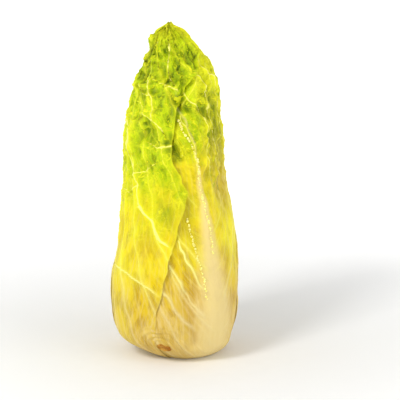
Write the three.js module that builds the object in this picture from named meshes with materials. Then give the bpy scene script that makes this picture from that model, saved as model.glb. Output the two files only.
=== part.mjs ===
// A head of sugarloaf chicory, standing on its cut stem. A short cone of stem sits at the bottom,
// and twenty-four leaves are folded round it, each one over the next. Every leaf is a closed solid.
// Millimetres and degrees. +Z runs up the head. The origin is the middle of the cut stem.
// Azimuth 0 is the front, -Y, and it grows towards +X.
import * as THREE from "three";

// Driving dimensions.
const HEAD_HEIGHT = 320;
const BELLY_RADIUS = 60;
const STEM_RADIUS = 20;
const STEM_HEIGHT = 52;
const STEM_GAP = 0.4; // between the stem and the leaf feet round it
const LEAF_PITCH = 0.067; // depth from one leaf to the leaf that it covers
const LEAF_THICKNESS = 0.025; // depth; about 1.2 mm at the belly
const FOOT_THICKNESS = 0.034; // the leaf feet are fleshier than the blades
const EDGE_THINNING = 0.6;
const FOOT_LENGTH = 0.06; // how far up the head the feet reach
const SETTLE_ANGLE = 26; // a covered leaf rises to the surface this far past its cover's edge
const SETTLE_LENGTH = 0.07; // the same past its cover's end, along the head
const SETTLE_REACH = 0.04; // a slanting edge holds the leaves down this far above and below it
const OVALNESS = 0.025;
const BELLY_OFFSET = -6; // the belly hangs a little to the left of the cut
const TIP_LEAN = -8;

// The head's skin, and the innermost leaf's surface, as meridians: distance from the axis, height.
const SKIN = [
  [STEM_RADIUS + STEM_GAP, 0], [31, 0], [44, 8], [54.5, 22], [BELLY_RADIUS, 47],
  [BELLY_RADIUS, 82], [56, 130], [51, 180], [46.5, 225], [39, 262], [27, 293], [13, 312],
  [2.5, HEAD_HEIGHT],
];
const HEART = [
  [7.5, 50], [9.5, 56], [12, 66], [14, 80], [15.5, 98], [16, 118], [15.5, 140],
  [14.5, 162], [13, 182], [11, 200], [8, 214], [5, 224], [1.5, 230],
];
const skin = new THREE.SplineCurve(SKIN.map(([r, z]) => new THREE.Vector2(r, z)));
const heart = new THREE.SplineCurve(HEART.map(([r, z]) => new THREE.Vector2(r, z)));

const { lerp, smoothstep, degToRad } = THREE.MathUtils;

// A place in the head: azimuth round it, along from the stem (0) to the tip (1), and depth from
// the skin (0) to the heart (1). Two leaves at different depths can't touch.
function place(azimuth, along, depth) {
  const outside = skin.getPointAt(along);
  const inside = heart.getPointAt(along);
  const angle = degToRad(azimuth);
  const height = Math.max(0, lerp(outside.y, inside.y, depth));
  const oval = 1 + OVALNESS * Math.cos(2 * angle) * smoothstep(height, 0, BELLY_RADIUS);
  const radius = lerp(outside.x, inside.x, depth) * oval;
  return new THREE.Vector3(
    sideways(height) + radius * Math.sin(angle),
    -radius * Math.cos(angle),
    height,
  );
}

// How far the head's axis stands to the right of the cut, at a height.
function sideways(height) {
  return (
    BELLY_OFFSET * smoothstep(height, 0, BELLY_RADIUS) +
    TIP_LEAN * smoothstep(height, HEAD_HEIGHT * 0.8, HEAD_HEIGHT)
  );
}

// A leaf edge through [along, azimuth] points, as a function of along.
function edgeThrough(points) {
  return (along) => {
    const after = points.findIndex(([a]) => a >= along);
    if (after === 0) return points[0][1];
    if (after < 0) return points[points.length - 1][1];
    const [a0, b0] = points[after - 1];
    const [a1, b1] = points[after];
    return lerp(b0, b1, smoothstep(along, a0, a1));
  };
}

// An ordinary leaf: a narrow foot, full width from a third of the way up, and a rounded end.
function ordinaryLeaf(azimuth, footHalf, half, top) {
  const shoulder = top * 0.62;
  const halfWidth = (along) => {
    const spread = lerp(footHalf, half, smoothstep(along, FOOT_LENGTH, top * 0.4));
    if (along <= shoulder) return spread;
    const t = Math.min(1, (along - shoulder) / (top - shoulder));
    return spread * Math.sqrt(1 - 0.97 * t * t);
  };
  return {
    azimuth,
    top,
    left: (along) => azimuth - halfWidth(along),
    right: (along) => azimuth + halfWidth(along),
  };
}

// The four outermost leaves stand in one ring on the cut, and are written out one by one.
const WRAPPERS = [
  { name: "short_wrapper_leaf_left", ...ordinaryLeaf(-140, 35, 54, 0.4) },
  { name: "short_wrapper_leaf_right", ...ordinaryLeaf(141, 43.5, 57, 0.48) },
  {
    // Torn along its right edge, so its rib is gone. It closes over the tip like a hood.
    name: "torn_wrapper_leaf",
    azimuth: -62,
    top: 0.985,
    left: edgeThrough([[0, -104], [0.06, -104], [0.25, -138], [0.6, -150], [0.9, -135], [1, -120]]),
    right: edgeThrough([
      [0, -25.5], [0.08, -24], [0.24, -12], [0.4, 3], [0.52, 12], [0.58, 5], [0.62, -6],
      [0.69, -3], [0.75, 6], [0.83, 42], [0.9, 84], [1, 115],
    ]),
  },
  {
    name: "broad_rib_wrapper_leaf",
    azimuth: 32,
    top: 0.955,
    left: edgeThrough([[0, -24.5], [0.06, -26], [0.2, -42], [0.5, -48], [0.8, -30], [1, -8]]),
    right: edgeThrough([[0, 96.5], [0.06, 96.5], [0.25, 118], [0.6, 128], [0.85, 112], [1, 90]]),
  },
];

// The rest follow in a spiral, each a golden angle on from the one that covers it.
const GOLDEN_ANGLE = 137.5;
const BACK_LEAF = { name: "back_wrapper_leaf", ...ordinaryLeaf(182, 40, 82, 0.995) };
const MIDDLE_COUNT = 6;
const HEART_COUNT = 13;

function spiralLeaves() {
  const leaves = [];
  for (let i = 0; i < MIDDLE_COUNT + HEART_COUNT; i++) {
    const azimuth = ((BACK_LEAF.azimuth - GOLDEN_ANGLE * (i + 1)) % 360) + 180;
    const inHeart = i >= MIDDLE_COUNT;
    const number = inHeart ? i - MIDDLE_COUNT + 1 : i + 1;
    const name = (inHeart ? "heart_leaf_" : "head_leaf_") + String(number).padStart(2, "0");
    const top = inHeart ? 0.95 - 0.006 * number : 0.985 - 0.004 * number;
    leaves.push({ name, ...ordinaryLeaf(azimuth, 42, inHeart ? 78 : 84, top) });
  }
  return leaves;
}

const leaves = [...WRAPPERS, BACK_LEAF, ...spiralLeaves()];
const ROOT_START = 0.075; // depth of the first foot behind the ring of wrappers
const ROOT_END = 0.95;
leaves.forEach((leaf, i) => {
  const behind = i - WRAPPERS.length;
  const step = (ROOT_END - ROOT_START) / (leaves.length - WRAPPERS.length - 1);
  leaf.root = behind < 0 ? 0 : ROOT_START + behind * step;
});

// How far a leaf covers a place: 1 under it, falling to 0 a little past its edge or its end.
function cover(leaf, azimuth, along) {
  const turned = THREE.MathUtils.euclideanModulo(azimuth - leaf.azimuth + 180, 360) - 180;
  const here = leaf.azimuth + turned;
  const pastEdge = [-SETTLE_REACH, 0, SETTLE_REACH].map((step) => {
    const at = THREE.MathUtils.clamp(along + step, 0, leaf.top);
    return Math.max(leaf.left(at) - here, here - leaf.right(at), 0);
  });
  const past = Math.min(...pastEdge);
  const beyond = Math.max(along - leaf.top - SETTLE_REACH, 0);
  return (1 - smoothstep(past, 0, SETTLE_ANGLE)) * (1 - smoothstep(beyond, 0, SETTLE_LENGTH));
}

// A leaf's depth: one pitch for each leaf that covers it there. The feet stand in their own order.
function depthOf(index, azimuth, along) {
  let covered = 0;
  for (let outer = 0; outer < index; outer++) covered += cover(leaves[outer], azimuth, along);
  return lerp(leaves[index].root, covered * LEAF_PITCH, smoothstep(along, 0, FOOT_LENGTH));
}

// Every leaf has its points on the same lines round and along the head, and at its own edges, so
// that the facets of nested leaves stay parallel.
const LINES_ROUND = 15; // degrees between them
const LINES_ALONG = [0, 0.03, 0.07, 0.13, 0.2, 0.28, 0.36, 0.45, 0.55, 0.65, 0.74, 0.82, 0.89, 0.94];
const LEAST_STEP = 0.3; // of a line spacing, from an edge to the next line
const LEAST_TOP_STEP = 0.015; // along, from the last shared line to a leaf's top

function azimuthsAcross(left, right) {
  const azimuths = [left];
  const least = LEAST_STEP * LINES_ROUND;
  for (let line = Math.ceil((left + least) / LINES_ROUND); line * LINES_ROUND < right - least; line++)
    azimuths.push(line * LINES_ROUND);
  return [...azimuths, right];
}

// The triangles of the strip between two rows of azimuths, as pairs of a row (0 or 1) and a place.
function zip(lower, upper) {
  const triangles = [];
  let i = 0;
  let j = 0;
  while (i < lower.length - 1 || j < upper.length - 1) {
    const takeLower = j === upper.length - 1 || (i < lower.length - 1 && lower[i + 1] <= upper[j + 1]);
    if (takeLower) triangles.push([[0, i], [0, ++i], [1, j]]);
    else triangles.push([[0, i], [1, j + 1], [1, j++]]);
  }
  return triangles;
}

// A leaf as a closed sheet: an outer side, an inner side and a rim between them.
function leafGeometry(leafIndex) {
  const leaf = leaves[leafIndex];
  const lines = LINES_ALONG.filter((line) => line < leaf.top - LEAST_TOP_STEP);
  const rows = [...lines, leaf.top].map((along) => {
    const thickness = lerp(FOOT_THICKNESS, LEAF_THICKNESS, smoothstep(along, 0, 2 * FOOT_LENGTH));
    return { along, thickness, azimuths: azimuthsAcross(leaf.left(along), leaf.right(along)) };
  });
  const outer = [];
  const inner = [];
  for (const row of rows) {
    row.start = outer.length;
    row.azimuths.forEach((azimuth, i) => {
      const depth = depthOf(leafIndex, azimuth, row.along);
      const atEdge = i === 0 || i === row.azimuths.length - 1;
      outer.push(place(azimuth, row.along, depth));
      inner.push(place(azimuth, row.along, depth + row.thickness * (atEdge ? EDGE_THINNING : 1)));
    });
  }
  const side = outer.length;
  const index = [];
  const rightRim = [];
  const leftRim = [];
  rows.slice(1).forEach((upper, below) => {
    const pair = [rows[below], upper];
    for (const triangle of zip(pair[0].azimuths, upper.azimuths)) {
      const [a, b, c] = triangle.map(([row, i]) => pair[row].start + i);
      index.push(a, b, c, a + side, c + side, b + side);
    }
    rightRim.push(pair[0].start + pair[0].azimuths.length - 1);
    leftRim.push(upper.start);
  });
  const last = rows[rows.length - 1];
  const rim = [
    ...rows[0].azimuths.keys().take(rows[0].azimuths.length - 1),
    ...rightRim,
    ...[...last.azimuths.keys()].slice(1).reverse().map((i) => last.start + i),
    ...leftRim.reverse(),
  ];
  rim.forEach((corner, i) => {
    const next = rim[(i + 1) % rim.length];
    index.push(corner, corner + side, next + side, corner, next + side, next);
  });
  const geometry = new THREE.BufferGeometry().setFromPoints([...outer, ...inner]);
  geometry.setIndex(index);
  geometry.computeVertexNormals();
  return geometry;
}

// The stem: a cut face, a short straight neck and a cone that the leaf feet stand on.
function stemGeometry() {
  const outline = [
    [0, 0], [STEM_RADIUS - 0.8, 0], [STEM_RADIUS - 0.1, 0.8], [STEM_RADIUS - 1.1, 4],
    [STEM_RADIUS - 5.5, 20], [STEM_RADIUS - 10, 36], [STEM_RADIUS - 14, 47], [0, STEM_HEIGHT],
  ];
  const geometry = new THREE.LatheGeometry(outline.map(([r, z]) => new THREE.Vector2(r, z)), 32);
  geometry.rotateX(Math.PI / 2);
  const { position } = geometry.attributes;
  for (let i = 0; i < position.count; i++)
    position.setX(i, position.getX(i) + sideways(position.getZ(i)));
  return geometry;
}

const LIME = new THREE.MeshStandardMaterial({ color: 0xc4d62a, roughness: 0.5 });
const YELLOW = new THREE.MeshStandardMaterial({ color: 0xe0cc4a, roughness: 0.5 });
const CREAM = new THREE.MeshStandardMaterial({ color: 0xead9a0, roughness: 0.55 });
const CUT_STEM = new THREE.MeshStandardMaterial({ color: 0xc98f4a, roughness: 0.7 });

const head = new THREE.Group();
const stem = new THREE.Mesh(stemGeometry(), CUT_STEM);
stem.name = "stem";
head.add(stem);
leaves.forEach((leaf, i) => {
  const isWrapper = i <= WRAPPERS.length;
  const isHeart = leaf.name.startsWith("heart");
  const geometry = leafGeometry(i);
  const mesh = new THREE.Mesh(geometry, isWrapper ? LIME : isHeart ? CREAM : YELLOW);
  mesh.name = leaf.name;
  head.add(mesh);
});

export default head;
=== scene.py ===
"""A standing head of sugarloaf chicory: leaf over leaf, crinkled and lime above, pale and ribbed below."""

import math

import bpy
import numpy as np
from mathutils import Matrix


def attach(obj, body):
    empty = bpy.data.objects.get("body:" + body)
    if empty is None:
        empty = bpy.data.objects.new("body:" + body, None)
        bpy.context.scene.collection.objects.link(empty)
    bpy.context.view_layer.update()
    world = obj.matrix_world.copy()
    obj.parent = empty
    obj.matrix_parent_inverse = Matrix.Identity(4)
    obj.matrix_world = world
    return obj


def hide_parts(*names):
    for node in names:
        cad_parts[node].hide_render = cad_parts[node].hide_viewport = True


bl_info = {
    "name": "Sugarloaf Chicory",
    "version": (1, 0, 0),
    "blender": (4, 5, 0),
    "location": "View3D > Sidebar > Chicory",
    "description": "Builds a head of sugarloaf chicory leaf by leaf, with its stem and a studio stage",
    "category": "Add Mesh",
}

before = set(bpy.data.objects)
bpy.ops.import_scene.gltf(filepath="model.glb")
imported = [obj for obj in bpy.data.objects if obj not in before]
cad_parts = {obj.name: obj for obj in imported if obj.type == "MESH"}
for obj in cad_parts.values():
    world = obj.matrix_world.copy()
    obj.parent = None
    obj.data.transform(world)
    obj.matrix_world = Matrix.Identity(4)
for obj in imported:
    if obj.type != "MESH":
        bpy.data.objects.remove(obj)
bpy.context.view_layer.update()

MM = 0.001

# ---------------------------------------------------------------- the head's nested surfaces
# Millimetres and degrees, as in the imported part. Azimuth 0 is the front, -Y, and grows towards +X.
STEM_RADIUS = 20.0
STEM_HEIGHT = 52.0
HEAD_HEIGHT = 320.0
BELLY_RADIUS = 60.0
HEAD_ARC = 356.0  # from the stem to the tip over the skin
LEAF_PITCH = 0.067
FOOT_LENGTH = 0.06
SETTLE_ANGLE = 26.0
SETTLE_LENGTH = 0.07
SETTLE_REACH = 0.04
OVALNESS = 0.025
BELLY_OFFSET = -6.0
OFFSET_REACH = 26.0  # the height where the belly has its whole offset
TIP_LEAN = -8.0
SKIN_LINE = [
    (20.4, 0), (31, 0), (44, 8), (54.5, 22), (60, 47), (60, 82), (56, 130), (51, 180),
    (46.5, 225), (39, 262), (27, 293), (13, 312), (2.5, 320),
]
HEART_LINE = [
    (7.5, 50), (9.5, 56), (12, 66), (14, 80), (15.5, 98), (16, 118), (15.5, 140),
    (14.5, 162), (13, 182), (11, 200), (8, 214), (5, 224), (1.5, 230),
]
FLAT_SCALE = 0.84  # mm for each degree, where folds and veins are laid out flat
SCAR_AZIMUTH, SCAR_UP = -16.0, 38.0


def smooth(x, low, high):
    t = np.clip((x - low) / (high - low), 0.0, 1.0)
    return t * t * (3 - 2 * t)


def mix(a, b, t):
    return a + (b - a) * t


def meridian(points):
    """A smooth line through (radius, height) points, by the share of its length."""
    p = np.array(points, float)
    ends = np.vstack([p[:1], p, p[-1:]])
    t = np.linspace(0, 1, 96, endpoint=False)[:, None]
    spans = []
    for a, b, c, d in zip(ends, ends[1:], ends[2:], ends[3:]):
        v0, v1 = (c - a) / 2, (d - b) / 2
        spans.append((2 * b - 2 * c + v0 + v1) * t**3 + (3 * c - 3 * b - 2 * v0 - v1) * t**2 + v0 * t + b)
    line = np.vstack([*spans, p[-1:]])
    share = np.r_[0, np.cumsum(np.hypot(*np.diff(line, axis=0).T))]
    share /= share[-1]
    return lambda s: (np.interp(s, share, line[:, 0]), np.interp(s, share, line[:, 1]))


skin = meridian(SKIN_LINE)
heart = meridian(HEART_LINE)


def sideways(height):
    belly = BELLY_OFFSET * smooth(height, 0, OFFSET_REACH)
    return belly + TIP_LEAN * smooth(height, HEAD_HEIGHT * 0.8, HEAD_HEIGHT)


def place(azimuth, along, depth=0.0, lift=0.0):
    """Points in metres: azimuth round the head, along it, depth into it, and a lift off that in mm."""
    (r0, z0), (r1, z1) = skin(along), heart(along)
    (ra, za), (rb, zb) = skin(np.clip(along - 0.012, 0, 1)), skin(np.clip(along + 0.012, 0, 1))
    tr, tz = rb - ra, zb - za
    size = np.hypot(tr, tz)
    height = np.maximum(0, mix(z0, z1, depth))
    angle = np.radians(azimuth)
    oval = 1 + OVALNESS * np.cos(2 * angle) * smooth(height, 0, BELLY_RADIUS)
    oval = oval * (1 - 0.8 * smooth(along, 0.955, 1.0) * (1 - smooth(depth, 0.1, 0.5)))
    radius = np.maximum(mix(r0, r1, depth) * oval + lift * tz / size, 0.15)
    height = np.maximum(height - lift * tr / size, 0.0)
    x = sideways(height) + radius * np.sin(angle)
    return np.stack([x, -radius * np.cos(angle), height], -1) * MM


# ---------------------------------------------------------------- noise, folds
def hashed(i, j, seed):
    h = (i.astype(np.int64) * 73856093) ^ (j.astype(np.int64) * 19349663) ^ (seed * 83492791)
    h = (h ^ (h >> 13)) * 1274126177 & 0x7FFFFFFF
    return ((h ^ (h >> 11)) & 0xFFFF) / 32767.5 - 1


def noise(x, y, seed=0, period=0):
    """Smooth noise in -1..1 with cells one unit wide, repeating along x after a period."""
    i, j = np.floor(x), np.floor(y)
    u, v = x - i, y - j
    u, v = u * u * u * (u * (u * 6 - 15) + 10), v * v * v * (v * (v * 6 - 15) + 10)
    after = i + 1
    if period:
        i, after = i % period, after % period
    low = mix(hashed(i, j, seed), hashed(after, j, seed), u)
    high = mix(hashed(i, j + 1, seed), hashed(after, j + 1, seed), u)
    return mix(low, high, v)


def rough_noise(x, y, seed=0, octaves=3):
    return sum(noise(x * 2**k, y * 2**k, seed + k) / 2**k for k in range(octaves)) / (2 - 2 ** (1 - octaves))


def along_line(azimuth, up, points):
    """Distance in mm from a line of (azimuth, mm up) points, and the share of the line's length there."""
    px, py = azimuth * FLAT_SCALE, up
    pts = [(a * FLAT_SCALE, u) for a, u in points]
    total = sum(math.dist(a, b) for a, b in zip(pts, pts[1:]))
    best = np.full(np.shape(px), 1e9)
    share = np.zeros(np.shape(px))
    run = 0.0
    for (ax, ay), (bx, by) in zip(pts, pts[1:]):
        length = math.dist((ax, ay), (bx, by))
        t = np.clip(((px - ax) * (bx - ax) + (py - ay) * (by - ay)) / length**2, 0, 1)
        d = np.hypot(px - ax - t * (bx - ax), py - ay - t * (by - ay))
        nearer = d < best
        best = np.where(nearer, d, best)
        share = np.where(nearer, (run + t * length) / total, share)
        run += length
    return best, share


def turned(azimuth, about):
    return about + (azimuth - about + 180) % 360 - 180


def drawn_up(up):
    """The height that folds and pale veins are listed at, which falls behind the leaf's towards the top."""
    return up - 12 * np.clip((up - 185) / 85, 0, 1)


# Folds that go through the leaves under them: width mm, height mm at the start and at the end,
# sharpness (1 a knife edge, 2 round), then the line.
FOLDS = [
    # the pinch in the middle of the front, and what runs into it
    (8, -6, -5, 1.5, [(4, 270), (-1, 268)]),
    (4, -4, -2, 1.2, [(2, 269), (-10, 268), (-19, 263)]),
    (3, -5, -1, 1.2, [(4, 271), (9, 279), (18, 286), (30, 289)]),
    (5, 3.5, 1, 1.3, [(3, 277), (-12, 281), (-24, 283), (-40, 286)]),
    (4, 3, 3, 1.2, [(1, 275), (-3, 282), (-10, 289), (-10, 297), (-4, 308), (0, 320)]),
    (7, -4, -3, 1.6, [(-16, 290), (-22, 300), (-22, 308)]),
    (7, -3, -2, 1.6, [(10, 292), (14, 304), (10, 314)]),
    (6, -4, -1, 1.5, [(6, 265), (14, 262), (24, 262)]),
    (5, 2.5, 1, 1.4, [(-2, 262), (-8, 256), (-14, 250)]),
    # the spine on the left and the small pinch at its foot
    (5, 3, 4, 1.2, [(-44, 287), (-42, 276), (-34, 267), (-29, 256), (-29, 247), (-19, 242), (-9, 232)]),
    (6, -6, -5, 1.4, [(-8, 230), (-7, 227)]),
    (3.5, -3, -1, 1.2, [(-7, 231), (-6, 240), (-6, 252)]),
    (4, -3, -2, 1.3, [(-9, 228), (-18, 228), (-27, 230)]),
    (6, -5, -3, 1.5, [(-42, 238), (-54, 228), (-56, 216), (-53, 208)]),
    (6, 3, 1, 1.5, [(-79, 246), (-64, 236), (-63, 220), (-52, 204), (-42, 195)]),
    # long folds of the golden part
    (6, 2.4, 3, 1.4, [(-42, 192), (-38, 176), (-23, 165), (-20, 154), (-10, 144), (-4, 138)]),
    (8, -2.4, -2, 1.6, [(-30, 190), (-16, 178), (-8, 160), (-2, 150)]),
    (8, 1.5, 2, 1.6, [(-64, 122), (-50, 110), (-30, 104), (-15, 93)]),
    (10, -2, -2, 1.7, [(-52, 150), (-36, 134), (-16, 116)]),
    (5, -5, -7, 1.5, [(8, 94), (13, 68), (19, 42)]),
    (14, 2, 2.5, 1.8, [(36, 90), (36, 50)]),
    (9, -1.5, -3, 1.7, [(2, 116), (9, 100), (12, 88)]),
    (9, -2, -1, 1.7, [(12, 180), (10, 160), (16, 140)]),
    # a curl of leaf behind the tip
    (4, 9, 9, 1.6, [(-97, 320), (-92, 325)]),
    # the right side
    (6, 2, 1, 1.4, [(49, 320), (60, 306), (64, 292), (76, 283)]),
    (8, -3, -2, 1.6, [(36, 306), (46, 296), (56, 284)]),
    (5, 1.6, 1, 1.4, [(23, 299), (53, 287), (50, 272), (46, 256), (54, 236), (56, 200)]),
    (9, -2, -1.5, 1.7, [(40, 276), (40, 258), (47, 240), (46, 212)]),
    (12, 2, -1, 1.7, [(76, 260), (80, 230), (84, 190)]),
    # the back
    (8, -3, -3, 1.5, [(150, 300), (160, 270), (156, 236)]),
    (7, 2.5, 2, 1.4, [(170, 316), (176, 290), (170, 262), (182, 236), (178, 200)]),
    (8, -3, -2, 1.5, [(200, 300), (206, 276), (196, 250)]),
    (7, 2.5, 1, 1.4, [(214, 306), (222, 280), (216, 256), (228, 236)]),
    (9, -2.5, -2, 1.6, [(120, 286), (126, 262), (122, 230), (130, 200)]),
    (8, -3, -2, 1.5, [(246, 280), (240, 256), (250, 230)]),
    (7, 2, 1.5, 1.4, [(100, 300), (108, 276), (102, 250), (110, 220)]),
    (7, 2, 1.5, 1.4, [(256, 300), (262, 268), (258, 240), (268, 214)]),
]


def shared_relief(azimuth, up):
    """The mm that every leaf there moves out of the head."""
    total = np.zeros(np.shape(azimuth))
    drawn = drawn_up(up)
    for width, start, end, power, points in FOLDS:
        middle = sum(a for a, _ in points) / len(points)
        far, share = along_line(turned(azimuth, middle), drawn, points)
        total = total + mix(start, end, share) * np.exp(-((far / width) ** power))
    high = smooth(up, 150, 250)
    lumps = 2.0 * noise(azimuth / 30, up / 60, 3, 12) + 1.1 * noise(azimuth / 15, up / 30, 5, 24)
    creased = np.abs(noise(azimuth / 18, up / 19, 7, 20) + 0.5 * noise(azimuth / 9, up / 9, 8, 40))
    sharp = np.abs(noise(azimuth / 10 + up / 26, up / 12, 9, 36))
    lumps = lumps + high * (1.9 - 3.6 * creased - 2.2 * sharp)
    # the left flank is full low down and slopes in at the shoulder, the right one is slimmer half way up
    sine = np.sin(np.radians(azimuth))
    left, right = np.maximum(0, -sine) ** 2, np.maximum(0, sine) ** 2
    flank = 2.0 * (1 - smooth(up, 285, 300)) + 3.5 * (1 - smooth(up, 95, 140)) - 5.0 * smooth(up, 285, 330)
    flank = left * flank - right * 5.0 * smooth(up, 155, 200) * (1 - smooth(up, 262, 300))
    total = np.where(total < -7, -7 - 3 * np.tanh((-7 - total) / 3), total)
    return (total + lumps + flank) * smooth(up, 14, 52) * (1 - 0.75 * smooth(up, 318, 350))


# ---------------------------------------------------------------- the leaves' outlines
def edge_through(points):
    at = np.array([p[0] for p in points], float)
    value = np.array([p[1] for p in points], float)

    def edge(along):
        i = np.clip(np.searchsorted(at, along, side="right"), 1, len(at) - 1)
        return mix(value[i - 1], value[i], smooth(along, at[i - 1], at[i]))

    return edge


class Leaf:
    """One leaf's outline, rib line and finish."""

    def __init__(self, name, azimuth, top, left, right, rib=None, rib_width=17.0, slot="lime_leaf"):
        self.name, self.azimuth, self.top = name, azimuth, top
        self.left, self.right = left, right
        self.rib = rib or (lambda along: azimuth + 0 * along)
        self.rib_width, self.slot = rib_width, slot
        self.root = 0.0


def ordinary_leaf(name, azimuth, foot_half, half, top, **finish):
    def half_width(along):
        spread = mix(foot_half, half, smooth(along, FOOT_LENGTH, top * 0.4))
        t = np.clip((along - top * 0.62) / (top * 0.38), 0, 1)
        return spread * np.sqrt(1 - 0.97 * t * t)

    left, right = lambda s: azimuth - half_width(s), lambda s: azimuth + half_width(s)
    return Leaf(name, azimuth, top, left, right, **finish)


TORN_EDGE = [
    (0, -25.5), (0.08, -24), (0.2, -19), (0.27, -13), (0.34, -8), (0.43, 0), (0.5, 8), (0.535, 12),
    (0.57, 5), (0.625, -5), (0.66, -6), (0.7, -3), (0.755, -1), (0.785, 5), (0.812, 12), (0.832, 22),
    (0.846, 36), (0.868, 50), (0.92, 84), (1, 115),
]
WRAPPERS = [
    ordinary_leaf("short_wrapper_leaf_left", -140, 35, 54, 0.4),
    ordinary_leaf("short_wrapper_leaf_right", 141, 43.5, 57, 0.48),
    Leaf(
        "torn_wrapper_leaf", -62, 0.997,
        edge_through([(0, -104), (0.06, -104), (0.25, -138), (0.6, -150), (0.9, -135), (1, -120)]),
        edge_through(TORN_EDGE),
        rib=edge_through([(0, -14), (0.3, 6), (0.6, 20), (1, 40)]),
        rib_width=4.0,
    ),
    Leaf(
        "broad_rib_wrapper_leaf", 32, 0.955,
        edge_through([(0, -24.5), (0.06, -26), (0.2, -30), (0.32, -44), (0.5, -48), (0.8, -30), (1, -8)]),
        edge_through([(0, 96.5), (0.06, 96.5), (0.25, 118), (0.6, 128), (0.85, 112), (1, 90)]),
        rib=edge_through([
            (0, 40), (0.2, 38), (0.33, 34), (0.5, 29), (0.565, 25), (0.657, 20), (0.725, 12), (0.785, -1),
            (1, -6),
        ]),
        rib_width=24.0,
    ),
]
GOLDEN_ANGLE = 137.5
BACK_AZIMUTH = 182.0
MIDDLE_COUNT, HEART_COUNT = 6, 13
ROOT_START, ROOT_END = 0.075, 0.95


def all_leaves():
    leaves = [*WRAPPERS, ordinary_leaf("back_wrapper_leaf", BACK_AZIMUTH, 40, 82, 0.995)]
    for i in range(MIDDLE_COUNT + HEART_COUNT):
        azimuth = math.fmod(BACK_AZIMUTH - GOLDEN_ANGLE * (i + 1), 360) + 180
        number = i - MIDDLE_COUNT + 1
        if number > 0:
            leaf = ordinary_leaf(
                f"heart_leaf_{number:02d}", azimuth, 42, 78, 0.95 - 0.006 * number, slot="pale_heart_leaf"
            )
        else:
            leaf = ordinary_leaf(
                f"head_leaf_{i + 1:02d}", azimuth, 42, 84, 0.985 - 0.004 * (i + 1), slot="yellow_leaf"
            )
        leaves.append(leaf)
    for behind, leaf in enumerate(leaves[len(WRAPPERS):]):
        leaf.root = mix(ROOT_START, ROOT_END, behind / (len(leaves) - len(WRAPPERS) - 1))
    return leaves


LEAVES = all_leaves()
INDEX = {leaf.name: i for i, leaf in enumerate(LEAVES)}


def cover(leaf, azimuth, along):
    """How far a leaf covers a place: 1 under it, falling to 0 past its edge or its end."""
    here = turned(azimuth, leaf.azimuth)
    past = np.full(np.shape(here), 1e9)
    for step in (-SETTLE_REACH, 0, SETTLE_REACH):
        at = np.clip(along + step, 0, leaf.top)
        past = np.minimum(past, np.maximum(np.maximum(leaf.left(at) - here, here - leaf.right(at)), 0))
    beyond = np.maximum(along - leaf.top - SETTLE_REACH, 0)
    return (1 - smooth(past, 0, SETTLE_ANGLE)) * (1 - smooth(beyond, 0, SETTLE_LENGTH))


def covered(index, azimuth, along):
    return sum((cover(outer, azimuth, along) for outer in LEAVES[:index]), np.zeros(np.shape(azimuth)))


# ---------------------------------------------------------------- sheets
# Ranks of veins: mm from one to the next, half width in mm, strength, and shift in spacings
VEIN_RANKS = ((62.0, 0.8, 1.0, 0.2), (20.0, 0.45, 0.5, 0.0), (8.5, 0.3, 0.22, 0.4))


def vein_lines(leaf, azimuth, up):
    """Veins that bend up along the leaf from its rib: their mask, mm from the rib, and where they start."""
    across = (azimuth - leaf.rib(up / HEAD_ARC)) * FLAT_SCALE * (1 - 0.35 * smooth(up, 200, HEAD_ARC))
    side = np.abs(across) + 2 * noise(across / 14, up / 20, 11)
    hand = np.where(across < 0, 0.0, 0.47)
    start = up - 0.9 * side - 0.030 * side * side + 3 * noise(across / 22, up / 30, 12)
    lines = np.zeros(np.shape(up))
    for spacing, thin, weight, shift in VEIN_RANKS:
        phase = (start / spacing + hand + shift) % 1.0
        slope = np.hypot(1, 0.9 + 0.06 * side)
        away = np.minimum(phase, 1 - phase) * spacing / slope
        lines = np.maximum(lines, weight * np.exp(-((away / (thin + 0.5 * weight)) ** 1.4)))
    return lines * smooth(side, 1, 9), across, start


# The strongest pale veins, by leaf: half width in mm, then (azimuth, up) points as in the folds.
PALE_LINES = {
    "torn_wrapper_leaf": [
        (1.7, [(-42, 282), (-41, 275), (-34, 267), (-29, 256), (-29, 247), (-19, 242), (-8, 231)]),
        (1.5, [
            (-79, 243), (-63, 234), (-63, 220), (-51, 203), (-42, 195), (-39, 179), (-26, 167), (-14, 148),
            (-5, 141),
        ]),
        (2.2, [(-38, 176), (-23, 164), (-20, 153), (-10, 143), (-4, 138)]),
        (1.0, [(-78, 119), (-50, 112), (-34, 106), (-14, 93)]),
        (2.0, [(0, 319), (-4, 308), (-10, 296), (-10, 288), (-2, 281), (2, 274)]),
        (1.1, [(1, 275), (-16, 280), (-38, 285)]),
        (1.0, [(-29, 247), (-44, 252), (-62, 262)]),
        (1.0, [(-8, 228), (-24, 226), (-40, 231)]),
        (0.9, [(-34, 267), (-52, 270), (-68, 280)]),
        (0.9, [(-42, 195), (-56, 186), (-74, 188)]),
        (0.8, [(-51, 203), (-36, 206), (-22, 216)]),
    ],
    "broad_rib_wrapper_leaf": [
        (1.4, [(23, 299), (53, 287), (50, 272), (46, 256), (54, 236), (57, 205), (60, 170)]),
        (1.7, [(49, 318), (60, 306), (64, 292), (76, 283), (78, 255), (82, 225)]),
        (1.1, [(8, 278), (22, 265), (36, 252), (40, 242), (38, 221), (40, 205), (43, 180)]),
        (0.9, [(0, 146), (14, 117), (24, 96)]),
        (0.9, [(-7, 121), (4, 103), (14, 84), (26, 68)]),
        (0.9, [(-14, 98), (-2, 80), (8, 66), (18, 56)]),
        (0.9, [(5, 255), (14, 240), (20, 222), (22, 205)]),
    ],
}


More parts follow.
